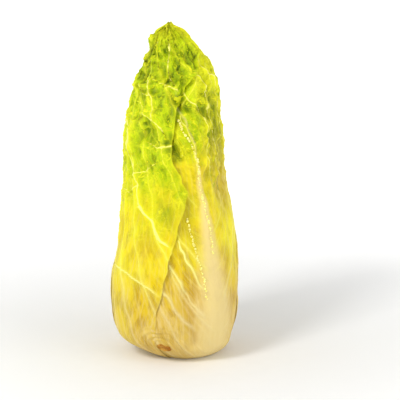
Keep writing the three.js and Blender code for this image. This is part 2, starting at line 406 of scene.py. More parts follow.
def own_relief(leaf, azimuth, along, hidden):
    """A leaf's own ribs, veins and margins: lift in mm and the masks that its finish reads."""
    up = along * HEAD_ARC
    veins, across, start = vein_lines(leaf, azimuth, up)
    drawn = drawn_up(up)
    bent = azimuth + 1.6 * noise(azimuth / 8, up / 9, 91)
    for width, points in PALE_LINES.get(leaf.name, ()):
        far, share = along_line(bent, drawn, points)
        taper = np.maximum(width * (1 - 0.5 * share) + 0.25, mix(1.35, 0.8, smooth(up, 120, 200)))
        veins = np.maximum(veins, 1.25 * np.exp(-((far / taper) ** 2)) * (1 - 0.6 * smooth(share, 0.85, 1)))
    high = smooth(up, 60, 250)
    half = np.maximum(leaf.rib_width * (1 - 0.95 * smooth(up, 20, 235) ** 0.62), 1.2)
    rib = np.exp(-((np.abs(across) / half) ** 3))
    crown = rib * mix(2.2, 1.3, high) * (1 - 0.7 * np.clip(hidden, 0, 1))
    bumps = 0.5 * np.exp(-((across / (0.6 * half + 1)) ** 2)) * noise(across / 1.6, up / 2.2, 21)
    bumps = bumps * smooth(up, 90, 130)
    lift = crown + bumps + veins * mix(0.55, 1.15, high)
    from_scar = np.hypot((turned(azimuth, 0) - SCAR_AZIMUTH) * FLAT_SCALE, up - SCAR_UP)
    rings = np.cos(2 * np.pi * (from_scar + 2 * noise(azimuth / 9, up / 8, 71)) / 4.8)
    lift = lift + 0.75 * rings * np.exp(-(((from_scar - 14) / 9) ** 2)) * smooth(up, 30, 42) * (1 - 0.6 * rib)
    return lift, {"rib": rib, "vein": veins, "run": start}, across


def relief(index, azimuth, along):
    """How covered a leaf is, its depth, its own lift and the head's, its masks, and mm from its rib."""
    leaf = LEAVES[index]
    up = along * HEAD_ARC
    hidden = covered(index, azimuth, along)
    close = 1.0
    if leaf.name == "torn_wrapper_leaf":
        close = 0.55
    if leaf.name == "broad_rib_wrapper_leaf":
        beside = smooth(azimuth, 55, 75) * (1 - smooth(up, 185, 215))
        close = mix(mix(0.3, 1.0, smooth(up, 62, 120)), 0.55, beside)
    depth = mix(leaf.root, hidden * LEAF_PITCH * close, smooth(along, 0, FOOT_LENGTH))
    own, masks, across = own_relief(leaf, azimuth, along, hidden)
    shared = shared_relief(azimuth, up) * np.clip(1 - depth / 0.8, 0, 1)
    return hidden, depth, own * smooth(up, 14, 45), shared, masks, across


def on_leaf(name, azimuth, up, lift=0.0):
    """Points on a leaf's outer side, or a little above it."""
    azimuth, along = np.asarray(azimuth, float), np.asarray(up, float) / HEAD_ARC
    _, depth, own, shared, _, _ = relief(INDEX[name], azimuth, along)
    return place(azimuth, along, depth, own + shared + lift)


def margin_distance(leaf, azimuth, along):
    """Distance in mm from a leaf's nearest edge, inside it."""
    radius = skin(along)[0]
    left = (azimuth - leaf.left(along)) * np.radians(1) * radius
    right = (leaf.right(along) - azimuth) * np.radians(1) * radius
    end = (leaf.top - along) * HEAD_ARC
    return np.clip(np.minimum(np.minimum(left, end), np.minimum(right, end)), 0, None)


def sheet_points(index, columns, rows, ragged=0.0, curl=1.0, settle=0.0):
    """The outer and inner sides of a leaf as grids of points, with its attributes."""
    leaf = LEAVES[index]
    along = np.linspace(0, leaf.top, rows + 1)[:, None] + np.zeros((1, columns + 1))
    share = np.linspace(0, 1, columns + 1)[None, :] + np.zeros((rows + 1, 1))
    up = along * HEAD_ARC
    radius = np.maximum(skin(along)[0], 8)
    fray = ragged * smooth(up, 50, 110)
    wander = np.degrees(fray * (0.9 * rough_noise(up / 9, 0 * up, 31 + index, 3)) / radius)
    far_wander = np.degrees(0.8 * fray * rough_noise(up / 11, 0 * up + 5, 41 + index, 3) / radius)
    left, right = leaf.left(along) + far_wander, leaf.right(along) + wander
    azimuth = mix(left, right, share)
    hidden, depth, own, shared, masks, across = relief(index, azimuth, along)
    free = 1 - np.clip(hidden, 0, 1)
    near = margin_distance(leaf, azimuth, along)
    wave = 0.6 + 0.6 * noise(up / 17, share * 3, 51 + index)
    lip = curl * free * wave * np.exp(-near / 5.0) * 2.4 * smooth(up, 75, 130)
    if leaf.name == "torn_wrapper_leaf":
        settle = 0.8 * (1 - smooth(up, 55, 95))
    lip = lip - settle * np.exp(-((near / 9.0) ** 2))
    lift = own + lip * smooth(up, 14, 45) + shared
    thick = mix(0.45, 1.15, smooth(near, 0, 9)) + 0.5 * (1 - smooth(up, 0, 60)) * smooth(near, 0, 9)
    outer = place(azimuth, along, depth, lift)
    inner = place(azimuth, along, depth, lift - thick)
    normal = np.cross(np.gradient(outer, axis=1), np.gradient(outer, axis=0))
    normal /= np.maximum(np.linalg.norm(normal, axis=-1, keepdims=True), 1e-12)
    masks["edge"] = np.exp(-near / 1.6) * smooth(up, 40, 90)
    masks["up"] = up / HEAD_ARC
    if leaf.name == "torn_wrapper_leaf":  # golden almost down to the stem
        masks["up"] = masks["up"] + 0.07 * (1 - smooth(up, 90, 190)) * smooth(up, 20, 70)
    if leaf.name == "broad_rib_wrapper_leaf":  # golden further up than the others, and yellower towards its right as painted light on its lit right side
        golden = 0.13 * smooth(up, 140, 200) * (1 - smooth(up, 258, 292))
        masks["up"] = masks["up"] - golden - 0.1 * smooth(across, 2, 30) * smooth(up, 120, 200)
    masks["crinkle"] = smooth(up, 85, 225) * smooth(near, 0, 6)
    masks["crinkle"] = masks["crinkle"] * (1 - 0.75 * masks["rib"]) * (0.5 + 0.5 * free)
    # how far the head's folds move a place out or in, which the finish turns into painted shade in the sunk
    # ones and painted highlight on the raised ones
    masks["fold"] = np.clip(shared / 8, -1, 1)
    masks["leaf"] = np.stack([across, up, np.full(up.shape, 40.0 * index)], -1)
    masks["outward"] = normal
    return outer, inner, masks


def sheet_mesh(name, outer, inner, masks):
    """A closed mesh of two grids and the rim between them."""
    rows, columns = outer.shape[:2]
    count = rows * columns
    grid = np.arange(count).reshape(rows, columns)
    a, b, c, d = grid[:-1, :-1], grid[:-1, 1:], grid[1:, 1:], grid[1:, :-1]
    faces = np.stack([a, b, c, d], -1).reshape(-1, 4)
    back = np.stack([a, d, c, b], -1).reshape(-1, 4) + count
    loop = np.r_[grid[0, :-1], grid[:-1, -1], grid[-1, :0:-1], grid[:0:-1, 0]]
    following = np.roll(loop, -1)
    rim = np.stack([loop, loop + count, following + count, following], -1)
    mesh = bpy.data.meshes.new(name)
    points = np.concatenate([outer.reshape(-1, 3), inner.reshape(-1, 3)])
    mesh.from_pydata(points, [], np.concatenate([faces, back, rim]).tolist())
    for key, values in masks.items():
        vector = values.ndim == 3
        layer = mesh.attributes.new(key, "FLOAT_VECTOR" if vector else "FLOAT", "POINT")
        data = np.concatenate([values.reshape(count, -1)] * 2).astype(np.float32).ravel()
        layer.data.foreach_set("vector" if vector else "value", data)
    mesh.polygons.foreach_set("use_smooth", np.ones(len(mesh.polygons), bool))
    mesh.update()
    return mesh


# ---------------------------------------------------------------- node building
class Nodes:
    """Adds and links the nodes of one tree."""

    def __init__(self, tree):
        self.tree = tree

    def feed(self, socket, value):
        if isinstance(value, bpy.types.NodeSocket):
            self.tree.links.new(value, socket)
        else:
            socket.default_value = value

    def add(self, kind, inputs=(), **settings):
        node = self.tree.nodes.new(kind)
        for key, value in settings.items():
            setattr(node, key, value)
        for key, value in dict(inputs).items():
            self.feed(node.inputs[key], value)
        return node

    def math(self, operation, *values, clamp=False):
        node = self.add("ShaderNodeMath", operation=operation, use_clamp=clamp)
        for socket, value in zip(node.inputs, values):
            self.feed(socket, value)
        return node.outputs[0]

    def vector(self, operation, *values):
        node = self.add("ShaderNodeVectorMath", operation=operation)
        for socket, value in zip([s for s in node.inputs if s.enabled], values):
            self.feed(socket, value)
        return node.outputs[0]

    def range(self, value, low, high, to_low=0.0, to_high=1.0):
        node = self.add("ShaderNodeMapRange", interpolation_type="SMOOTHSTEP")
        for socket, item in zip(node.inputs, (value, low, high, to_low, to_high)):
            self.feed(socket, item)
        return node.outputs[0]

    def noise(self, place_in, scale, detail=2.0, roughness=0.5):
        inputs = {"Vector": place_in, "Scale": scale, "Detail": detail, "Roughness": roughness}
        return self.add("ShaderNodeTexNoise", inputs).outputs[0]

    def cell_edges(self, place_in, scale):
        inputs = {"Vector": place_in, "Scale": scale, "Randomness": 1.0}
        node = self.add("ShaderNodeTexVoronoi", inputs, feature="DISTANCE_TO_EDGE")
        return node.outputs["Distance"]

    def mix_colour(self, factor, first, second):
        node = self.add("ShaderNodeMix", data_type="RGBA")
        for socket, item in zip((node.inputs[0], node.inputs[6], node.inputs[7]), (factor, first, second)):
            self.feed(socket, item)
        return node.outputs[2]


def new_tree(kind, name, inputs, outputs):
    tree = bpy.data.node_groups.new(name, kind)
    for label, socket, default in inputs:
        item = tree.interface.new_socket(label, in_out="INPUT", socket_type=socket)
        if default is not None:
            item.default_value = default
    for label, socket in outputs:
        tree.interface.new_socket(label, in_out="OUTPUT", socket_type=socket)
    return tree, tree.nodes.new("NodeGroupInput").outputs, tree.nodes.new("NodeGroupOutput").inputs


def net_fields(n, leaf, size):
    """The warped place on a leaf, and the distances to a coarse and a finer net of veins there."""
    warp = n.add("ShaderNodeTexNoise", {"Vector": leaf, "Scale": 0.05, "Detail": 3.0, "Roughness": 0.6})
    bend = n.vector("MULTIPLY", n.vector("SUBTRACT", warp.outputs["Color"], (0.5, 0.5, 0.5)), (30, 30, 0))
    shifted = n.vector("ADD", leaf, bend)
    cells = n.add("ShaderNodeCombineXYZ", {k: size for k in "XYZ"}).outputs[0]
    at = n.vector("DIVIDE", n.vector("MULTIPLY", shifted, (1.0, 0.72, 1.0)), cells)
    return shifted, n.cell_edges(at, 0.6), n.cell_edges(at, 1.6)


def crinkle_tree():
    """Geometry nodes that press a net of veins and wrinkles into a leaf's sheet."""
    tree, given, out = new_tree(
        "GeometryNodeTree",
        "leaf_crinkle",
        [
            ("Geometry", "NodeSocketGeometry", None),
            ("Net Size", "NodeSocketFloat", 9.0),
            ("Net Depth", "NodeSocketFloat", 0.0011),
            ("Wrinkle Size", "NodeSocketFloat", 14.0),
            ("Wrinkle Depth", "NodeSocketFloat", 0.0012),
            ("Material", "NodeSocketMaterial", None),
        ],
        [("Geometry", "NodeSocketGeometry")],
    )
    n = Nodes(tree)

    def named(name, kind="FLOAT"):
        node = n.add("GeometryNodeInputNamedAttribute", {"Name": name}, data_type=kind)
        return node.outputs["Attribute"]

    leaf, amount = named("leaf", "FLOAT_VECTOR"), named("crinkle")
    shifted, big, small = net_fields(n, leaf, given["Net Size"])
    big_cell, small_cell = n.range(big, 0.0, 0.32), n.range(small, 0.0, 0.3)
    wide = n.add("ShaderNodeCombineXYZ", {k: given["Wrinkle Size"] for k in "XYZ"}).outputs[0]
    wrinkles = n.noise(n.vector("DIVIDE", shifted, wide), 1.0, 3.0, 0.6)
    ridged = n.math("ABSOLUTE", n.math("MULTIPLY_ADD", wrinkles, 2.0, -1.0))
    net = n.math("ADD", n.math("MULTIPLY", big_cell, 0.55), n.math("MULTIPLY", small_cell, 0.45))
    sunk = n.math("MULTIPLY", ridged, n.math("MULTIPLY", given["Wrinkle Depth"], 2.0))
    sunk = n.math("MULTIPLY", n.math("ADD", n.math("MULTIPLY", net, given["Net Depth"]), sunk), amount)
    inward = {0: named("outward", "FLOAT_VECTOR"), "Scale": n.math("MULTIPLY", sunk, -1.0)}
    step = n.add("ShaderNodeVectorMath", inward, operation="SCALE")
    moved = n.add("GeometryNodeSetPosition", {"Geometry": given["Geometry"], "Offset": step.outputs[0]})
    # how sunk each point lies in the net and wrinkles, kept for the painted shade in the leaf's hollows
    hollow = n.math("ADD", n.math("MULTIPLY", net, 0.5), n.math("MULTIPLY", ridged, 1.1))
    kept_as = {"Geometry": moved.outputs[0], "Name": "hollow", "Value": n.math("MULTIPLY", hollow, amount)}
    stored = n.add("GeometryNodeStoreNamedAttribute", kept_as, data_type="FLOAT", domain="POINT")
    real = n.add("GeometryNodeRealizeInstances", {"Geometry": stored.outputs[0]})
    finish = n.add("GeometryNodeSetMaterial", {"Geometry": real.outputs[0], "Material": given["Material"]})
    tree.links.new(finish.outputs[0], out["Geometry"])
    return tree


def grown(name, mesh, tree, values):
    """A plain mesh object: the mesh after one geometry-nodes tree with the given named inputs."""
    source = bpy.data.objects.new(name + "_source", mesh)
    bpy.context.scene.collection.objects.link(source)
    modifier = source.modifiers.new("grow", "NODES")
    modifier.node_group = tree
    sockets = {i.name: i.identifier for i in tree.interface.items_tree if i.in_out == "INPUT"}
    for label, value in values.items():
        modifier[sockets[label]] = value
    graph = bpy.context.evaluated_depsgraph_get()
    result = bpy.data.meshes.new_from_object(source.evaluated_get(graph), depsgraph=graph)
    result.name = name
    source.modifiers.remove(modifier)
    bpy.data.objects.remove(source)
    piece = bpy.data.objects.new(name, result)
    bpy.context.scene.collection.objects.link(piece)
    return piece


# ---------------------------------------------------------------- finishes
def srgb(r, g, b):
    def linear(v):
        v /= 255
        return v / 12.92 if v <= 0.04045 else ((v + 0.055) / 1.055) ** 2.4

    return (linear(r), linear(g), linear(b), 1.0)


def leaf_skin_group():
    """Shader group: the colour, roughness and bump height of leaf tissue from a leaf's attributes."""
    tree, given, out = new_tree(
        "ShaderNodeTree",
        "leaf_skin",
        [
            ("Greenness", "NodeSocketFloat", 0.0),
            ("Rib Colour", "NodeSocketColor", (0.85, 0.75, 0.3, 1)),
            ("Vein And Highlight Colour", "NodeSocketColor", (0.8, 0.8, 0.1, 1)),
            ("Crest Colour", "NodeSocketColor", (0.9, 0.85, 0.4, 1)),
            ("Base Colour", "NodeSocketColor", (0.75, 0.6, 0.3, 1)),
            ("Golden Colour", "NodeSocketColor", (0.8, 0.6, 0.02, 1)),
            ("Amber And Shade Colour", "NodeSocketColor", (0.6, 0.42, 0.01, 1)),
            ("Lime Colour", "NodeSocketColor", (0.5, 0.65, 0.005, 1)),
            ("Shade Green Colour", "NodeSocketColor", (0.22, 0.36, 0.0, 1)),
        ],
        [("Colour", "NodeSocketColor"), ("Roughness", "NodeSocketFloat"), ("Height", "NodeSocketFloat")],
    )
    n = Nodes(tree)

    def read(name, output="Fac"):
        return n.add("ShaderNodeAttribute", attribute_name=name).outputs[output]

    leaf = read("leaf", "Vector")
    names = ("up", "rib", "vein", "run", "hollow", "fold", "edge")
    up, rib, vein, run, hollow, fold, edge = (read(name) for name in names)
    mottle = n.noise(leaf, 0.035, 3.0, 0.55)
    fine = n.noise(leaf, 0.5, 4.0, 0.6)
    fibre = n.noise(n.vector("MULTIPLY", leaf, (1.0, 0.06, 1.0)), 0.45, 3.0, 0.6)
    patch = n.noise(n.vector("MULTIPLY", leaf, (1.0, 0.4, 1.0)), 0.11, 3.0, 0.6)
    # the net between the veins, coarse to fine, each fading in and out
    shifted, big, small = net_fields(n, leaf, 9.0)
    least = n.cell_edges(shifted, 0.42)
    net = n.math("MULTIPLY", n.range(big, 0.055, 0.0), n.range(patch, 0.36, 0.55, 0.35, 1.0))
    finer = n.math("MULTIPLY", n.range(small, 0.06, 0.0), n.range(mottle, 0.42, 0.6, 0.1, 0.75))
    finest = n.math("MULTIPLY", n.range(least, 0.07, 0.0), n.range(patch, 0.42, 0.62, 0.3, 0.0))
    net = n.math("MAXIMUM", n.math("MAXIMUM", net, finer), finest)
    # fine parallel veins of the lower leaf
    phase = n.math("FRACT", n.math("ADD", n.math("DIVIDE", run, 5.2), n.math("MULTIPLY", mottle, 1.6)))
    thread = n.range(n.math("ABSOLUTE", n.math("MULTIPLY_ADD", phase, 2.0, -1.0)), 0.78, 1.0)
    for fade in (n.range(patch, 0.4, 0.62), n.range(up, 0.8, 0.45), n.range(rib, 0.35, 0.02)):
        thread = n.math("MULTIPLY", thread, fade)
    green = n.math("ADD", up, n.math("MULTIPLY_ADD", mottle, 0.3, -0.15))
    green = n.math("ADD", green, given["Greenness"])
    # painted shade: the hollows of the net and wrinkles pushed greener
    green = n.math("ADD", green, n.math("MULTIPLY", hollow, 0.16))
    colour = n.mix_colour(n.range(green, 0.08, 0.36), given["Base Colour"], given["Golden Colour"])
    amber = n.math("MULTIPLY", n.range(patch, 0.44, 0.62, 0.0, 0.8), n.range(up, 0.06, 0.24))
    colour = n.mix_colour(n.math("MULTIPLY", amber, n.range(up, 0.62, 0.42)), colour, given["Amber And Shade Colour"])
    bright = n.math("MULTIPLY", n.range(green, 0.32, 0.46), n.range(green, 0.66, 0.52))
    colour = n.mix_colour(n.math("MULTIPLY", bright, 0.35), colour, given["Vein And Highlight Colour"])
    colour = n.mix_colour(n.range(green, 0.44, 0.7), colour, given["Lime Colour"])
    # painted light: the upper part of each leaf right of its rib turned yellower, standing in for light on
    # the right side
    painted_lit_side = n.add("ShaderNodeSeparateXYZ", {"Vector": leaf}).outputs["X"]
    painted_lit_side = n.math("MULTIPLY", n.range(painted_lit_side, 4.0, 30.0), n.range(up, 0.22, 0.42))
    colour = n.mix_colour(n.math("MULTIPLY", painted_lit_side, 0.65), colour, given["Vein And Highlight Colour"])
    # painted shade: the hollows of the net and wrinkles darkened to deep green
    hollow_shade = n.math("MULTIPLY", n.range(green, 0.5, 0.9), n.range(hollow, 0.12, 0.75))
    colour = n.mix_colour(n.math("MULTIPLY", hollow_shade, 0.95), colour, given["Shade Green Colour"])
    # painted shade: sunk folds and pits darkened to amber low down and to deep green higher up
    pit = n.range(n.math("MULTIPLY", fold, -1.0), 0.1, 0.8)
    shade = n.mix_colour(n.range(up, 0.25, 0.5), given["Amber And Shade Colour"], given["Shade Green Colour"])
    colour = n.mix_colour(n.math("MULTIPLY", pit, n.range(up, 0.2, 0.6, 0.5, 0.85)), colour, shade)
    # painted highlight: the raised folds lightened towards the vein colour
    ridge = n.math("MULTIPLY", n.range(fold, 0.18, 0.6), n.range(up, 0.3, 0.5, 0.2, 0.55))
    colour = n.mix_colour(ridge, colour, given["Vein And Highlight Colour"])
    pale = n.math("MULTIPLY", rib, n.range(up, 0.95, 0.35))
    colour = n.mix_colour(n.math("MULTIPLY", pale, 0.85), colour, given["Rib Colour"])
    streak = n.math("MULTIPLY", n.range(fibre, 0.46, 0.68), n.range(up, 0.6, 0.15, 0.05, 0.42))
    colour = n.mix_colour(streak, colour, given["Rib Colour"])
    lines = n.math("MULTIPLY", vein, 0.95)
    for line, strength in ((net, n.range(green, 0.38, 0.62)), (edge, 0.6), (thread, 0.8)):
        lines = n.math("MAXIMUM", lines, n.math("MULTIPLY", line, strength))
    lines = n.math("MULTIPLY", lines, n.range(fine, 0.2, 0.55, 0.6, 1.0), clamp=True)
    vein_colour = n.mix_colour(n.range(up, 0.2, 0.5), given["Rib Colour"], given["Vein And Highlight Colour"])
    colour = n.mix_colour(n.math("MULTIPLY", lines, 0.85), colour, vein_colour)
    strong = n.math("MULTIPLY", n.range(vein, 0.75, 1.15), n.range(up, 0.2, 0.4))
    colour = n.mix_colour(n.math("MULTIPLY", strong, 0.7), colour, given["Crest Colour"])
    colour = n.mix_colour(n.range(up, 0.9, 1.0, 0.0, 0.45), colour, given["Vein And Highlight Colour"])
    height = n.math("ADD", n.math("MULTIPLY", fine, 0.3), n.math("MULTIPLY", fibre, 0.6))
    height = n.math("ADD", height, n.math("MULTIPLY", lines, 0.9))
    rough = n.math("ADD", n.math("MULTIPLY_ADD", fine, 0.25, 0.28), n.math("MULTIPLY", up, 0.1))
    tree.links.new(colour, out["Colour"])
    tree.links.new(rough, out["Roughness"])
    tree.links.new(height, out["Height"])
    return tree


def finish_material(name, subsurface=0.0, radius=(0.6, 0.5, 0.1), specular=0.35, coat=0.0):
    material = bpy.data.materials.new(name)
    material.use_nodes = True
    n = Nodes(material.node_tree)
    shader = material.node_tree.nodes["Principled BSDF"]
    shader.inputs["Subsurface Weight"].default_value = subsurface
    shader.inputs["Subsurface Radius"].default_value = radius
    shader.inputs["Subsurface Scale"].default_value = 0.004
    shader.inputs["Specular IOR Level"].default_value = specular
    shader.inputs["Coat Weight"].default_value = coat
    return material, n, shader


def leaf_material(name, group, greenness, colours):
    material, n, shader = finish_material(name, subsurface=0.08, specular=0.12)
    node = n.add("ShaderNodeGroup", node_tree=group)
    node.inputs["Greenness"].default_value = greenness
    for label, value in colours.items():
        node.inputs[label].default_value = value
    links = material.node_tree.links
    links.new(node.outputs["Colour"], shader.inputs["Base Color"])
    links.new(node.outputs["Roughness"], shader.inputs["Roughness"])
    bump = n.add("ShaderNodeBump", {"Strength": 0.9, "Distance": 0.0009, "Height": node.outputs["Height"]})
    links.new(bump.outputs[0], shader.inputs["Normal"])
    return material


LEAF_COLOURS = {
    "Rib Colour": srgb(226, 205, 142),
    "Vein And Highlight Colour": srgb(240, 236, 36),
    "Crest Colour": srgb(250, 244, 150),
    "Base Colour": srgb(208, 174, 84),
    "Golden Colour": srgb(216, 184, 0),
    "Amber And Shade Colour": srgb(184, 142, 0),
    "Lime Colour": srgb(178, 203, 0),
    "Shade Green Colour": srgb(66, 98, 0),
}


def kept(kind, name, make):
    """The named data-block, made the first time that it is asked for."""
    return getattr(bpy.data, kind).get(name) or make()


def leaf_finish(slot):
    group = kept("node_groups", "leaf_skin", leaf_skin_group)
    greenness = {"lime_leaf": 0.0, "yellow_leaf": -0.06, "pale_heart_leaf": -0.2}[slot]
    name = slot + "_tissue"
    return kept("materials", name, lambda: leaf_material(name, group, greenness, LEAF_COLOURS))


def build_leaf(name, columns, rows, ragged=0.0, curl=1.0, settle=0.0):
    index = INDEX[name]
    leaf = LEAVES[index]
    outer, inner, masks = sheet_points(index, columns, rows, ragged, curl, settle)
    mesh = sheet_mesh(name, outer, inner, masks)
    sizes = bpy.context.scene.chicory_leaves
    values = {
        "Net Size": sizes.net_size, "Net Depth": sizes.net_depth, "Wrinkle Size": sizes.wrinkle_size,
        "Wrinkle Depth": sizes.wrinkle_depth, "Material": leaf_finish(leaf.slot),
    }
    piece = grown(name + "_blade", mesh, kept("node_groups", "leaf_crinkle", crinkle_tree), values)
    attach(piece, "root")
    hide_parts(name)
    return piece


def build_leaf_scar():
    """The dried oval where a leaf has come off low at the front: a raised rim round a sunk middle."""
    u, v = np.meshgrid(np.linspace(-1, 1, 41), np.linspace(-1, 1, 41))
    across, high = u * np.sqrt(1 - v * v / 2), v * np.sqrt(1 - u * u / 2)
    out = np.hypot(across, high)
    turn = np.arctan2(high, across)
    wobble = 1 + 0.1 * noise(2 * np.cos(turn) + 5, 2 * np.sin(turn) + 5, 81)
    azimuth = SCAR_AZIMUTH + across * wobble * 6.4 / FLAT_SCALE
    up = SCAR_UP + high * wobble * 4.4
    rim = 0.75 * np.exp(-(((out - 0.8) / 0.16) ** 2))
    rim = rim + 0.3 * rough_noise(across * 6, high * 4, 82) * (1 - out)
    outer = on_leaf("broad_rib_wrapper_leaf", azimuth, up, 0.3 + rim - 0.5 * smooth(out, 0.88, 1.0))
    inner = on_leaf("broad_rib_wrapper_leaf", azimuth, up, -0.7)
    mesh = sheet_mesh("leaf_scar", outer, inner, {"rim": rim})
    piece = bpy.data.objects.new("leaf_scar", mesh)
    bpy.context.scene.collection.objects.link(piece)
    mesh.materials.append(kept("materials", "dried_cut", cut_stem_material))
    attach(piece, "root")


def bump_row_tree():
    """Geometry nodes that set small blisters along lines."""
    tree, given, out = new_tree(
        "GeometryNodeTree",
        "bump_row",
        [
            ("Geometry", "NodeSocketGeometry", None),
            ("Spacing", "NodeSocketFloat", 0.002),
            ("Bump Size", "NodeSocketFloat", 0.0008),
            ("Wander", "NodeSocketFloat", 0.0006),
            ("Material", "NodeSocketMaterial", None),
        ],
        [("Geometry", "NodeSocketGeometry")],
    )
    n = Nodes(tree)
    path = n.add("GeometryNodeMeshToCurve", {0: given["Geometry"]}).outputs[0]
    spaced = {"Curve": path, "Length": given["Spacing"]}
    row = n.add("GeometryNodeResampleCurve", spaced, mode="LENGTH").outputs[0]
    ball = n.add("GeometryNodeMeshIcoSphere", {"Radius": given["Bump Size"], "Subdivisions": 3}).outputs[0]
    size = n.add("FunctionNodeRandomValue", {2: 0.45, 3: 1.25, "Seed": 3}, data_type="FLOAT").outputs[1]
    reach = {0: (-1, -1, -1), 1: (1, 1, 1), "Seed": 8}
    astray = n.add("FunctionNodeRandomValue", reach, data_type="FLOAT_VECTOR").outputs[0]
    step = n.add("ShaderNodeVectorMath", {0: astray, "Scale": given["Wander"]}, operation="SCALE").outputs[0]
    row = n.add("GeometryNodeSetPosition", {"Geometry": row, "Offset": step}).outputs[0]
    placed = n.add("GeometryNodeInstanceOnPoints", {"Points": row, "Instance": ball, "Scale": size})
    real = n.add("GeometryNodeRealizeInstances", {"Geometry": placed.outputs[0]}).outputs[0]
    finish = n.add("GeometryNodeSetMaterial", {"Geometry": real, "Material": given["Material"]})
    tree.links.new(finish.outputs[0], out["Geometry"])
    return tree


def blister_material():
    material, n, shader = finish_material("blister_tissue", subsurface=0.1, specular=0.2)
    place_in = n.add("ShaderNodeTexCoord").outputs["Object"]
    speck = n.add("ShaderNodeTexNoise", {"Vector": place_in, "Scale": 900.0, "Detail": 2.0}).outputs[0]
    colour = n.mix_colour(n.range(speck, 0.4, 0.62), srgb(253, 247, 160), srgb(226, 212, 84))
    links = material.node_tree.links
    links.new(colour, shader.inputs["Base Color"])
    links.new(n.math("MULTIPLY_ADD", speck, 0.3, 0.3), shader.inputs["Roughness"])
    return material


# Rows of blisters on the broad-ribbed leaf, as (azimuth, up)
BLISTER_ROWS = [
    [
        (3, 262), (7, 252), (13, 243), (20, 228), (23.5, 213), (25, 198), (27.5, 184), (30, 168), (32.5, 150),
        (35, 132),
    ],
    [(11.5, 166), (14, 154), (18, 137), (20, 127), (24, 113), (26, 90)],
]


def build_rib_blisters():
    points, edges = [], []
    for row in BLISTER_ROWS:
        share = np.linspace(0, len(row) - 1, 12 * len(row))
        azimuth = np.interp(share, np.arange(len(row)), [a for a, _ in row])
        up = np.interp(share, np.arange(len(row)), [u for _, u in row])
        line = on_leaf("broad_rib_wrapper_leaf", azimuth, up, 0.15)
        edges += [(len(points) + i, len(points) + i + 1) for i in range(len(line) - 1)]
        points += line.tolist()
    mesh = bpy.data.meshes.new("rib_blister_rows")
    mesh.from_pydata(points, edges, [])
    values = {
        "Spacing": 0.0023, "Bump Size": 0.0011, "Wander": 0.0007,
        "Material": kept("materials", "blister_tissue", blister_material),
    }
    piece = grown("rib_blisters", mesh, kept("node_groups", "bump_row", bump_row_tree), values)
    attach(piece, "root")


# ---------------------------------------------------------------- stem
def build_stem():
    around, rows = 96, 60
    outline = [(0.0, 0.0), (19.2, 0.0), (19.9, 0.8), (18.9, 4), (14.5, 20), (10, 36), (6, 47), (0.4, 52)]
    radii = np.interp(np.linspace(0, 1, rows), np.linspace(0, 1, len(outline)), [p[0] for p in outline])
    heights = np.interp(np.linspace(0, 1, rows), np.linspace(0, 1, len(outline)), [p[1] for p in outline])
    angle = np.linspace(0, 2 * math.pi, around, endpoint=False)
    points = []
    for r, z in zip(radii[1:-1], heights[1:-1]):
        wobble = 0.35 * noise(np.cos(angle) * 3 + 9, np.sin(angle) * 3 + z / 9, 61) * min(1, z / 3)
        reach = np.maximum(r + wobble - 0.3, 0.2)
        x, y = sideways(z) + reach * np.sin(angle), -reach * np.cos(angle)
        points.append(np.stack([x, y, np.full(around, z)], -1))
    points = np.concatenate(points) * MM
    count = rows - 2
    points = np.concatenate([points, [[0, 0, 0]], [[sideways(52.0) * MM, 0, 0.052]]])
    faces = []
    for i in range(count - 1):
        for j in range(around):
            k = (j + 1) % around
            faces.append((i * around + j, i * around + k, (i + 1) * around + k, (i + 1) * around + j))
    for j in range(around):
        k = (j + 1) % around
        faces.append((k, j, count * around))
        faces.append(((count - 1) * around + j, (count - 1) * around + k, count * around + 1))
    mesh = bpy.data.meshes.new("stem_body")
    mesh.from_pydata(points, [], faces)
    mesh.polygons.foreach_set("use_smooth", np.ones(len(mesh.polygons), bool))
    piece = bpy.data.objects.new("stem_body", mesh)
    bpy.context.scene.collection.objects.link(piece)
    mesh.materials.append(kept("materials", "dried_cut", cut_stem_material))
    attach(piece, "root")
    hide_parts("stem")
    return piece


def cut_stem_material():
    material, n, shader = finish_material("dried_cut", subsurface=0.1, specular=0.25)
    links = material.node_tree.links
    place_in = n.add("ShaderNodeTexCoord").outputs["Object"]
    rings = n.noise(place_in, 180.0, 4.0, 0.65)
    pores = n.add("ShaderNodeTexVoronoi", {"Vector": place_in, "Scale": 420.0})
    brown = n.mix_colour(n.range(rings, 0.35, 0.7), srgb(160, 100, 14), srgb(206, 160, 66))
    brown = n.mix_colour(n.range(pores.outputs["Distance"], 0.0, 0.35, 0.5, 0.0), brown, srgb(120, 66, 20))
    links.new(brown, shader.inputs["Base Color"])
    links.new(n.math("MULTIPLY_ADD", rings, 0.2, 0.6), shader.inputs["Roughness"])
    bump = n.add("ShaderNodeBump", {"Strength": 0.6, "Distance": 0.0006, "Height": pores.outputs["Distance"]})
    links.new(bump.outputs[0], shader.inputs["Normal"])
    return material


# ---------------------------------------------------------------- stage
def stage_material():
    material, n, shader = finish_material("pale_floor", specular=0.1)
    place_in = n.add("ShaderNodeTexCoord").outputs["Object"]
    grain = n.add("ShaderNodeTexNoise", {"Vector": place_in, "Scale": 60.0, "Detail": 2.0})
    colour = n.mix_colour(grain.outputs[0], (0.955, 0.955, 0.95, 1), (0.985, 0.985, 0.98, 1))
    material.node_tree.links.new(colour, shader.inputs["Base Color"])
    far = n.add("ShaderNodeVectorMath", {0: place_in}, operation="LENGTH").outputs["Value"]
    glow = n.mix_colour(n.range(far, 0.0, 0.9), (0, 0, 0, 1), (1, 1, 1, 1))
    material.node_tree.links.new(glow, shader.inputs["Emission Color"])
    shader.inputs["Emission Strength"].default_value = 0.6
    shader.inputs["Roughness"].default_value = 0.8
    return material


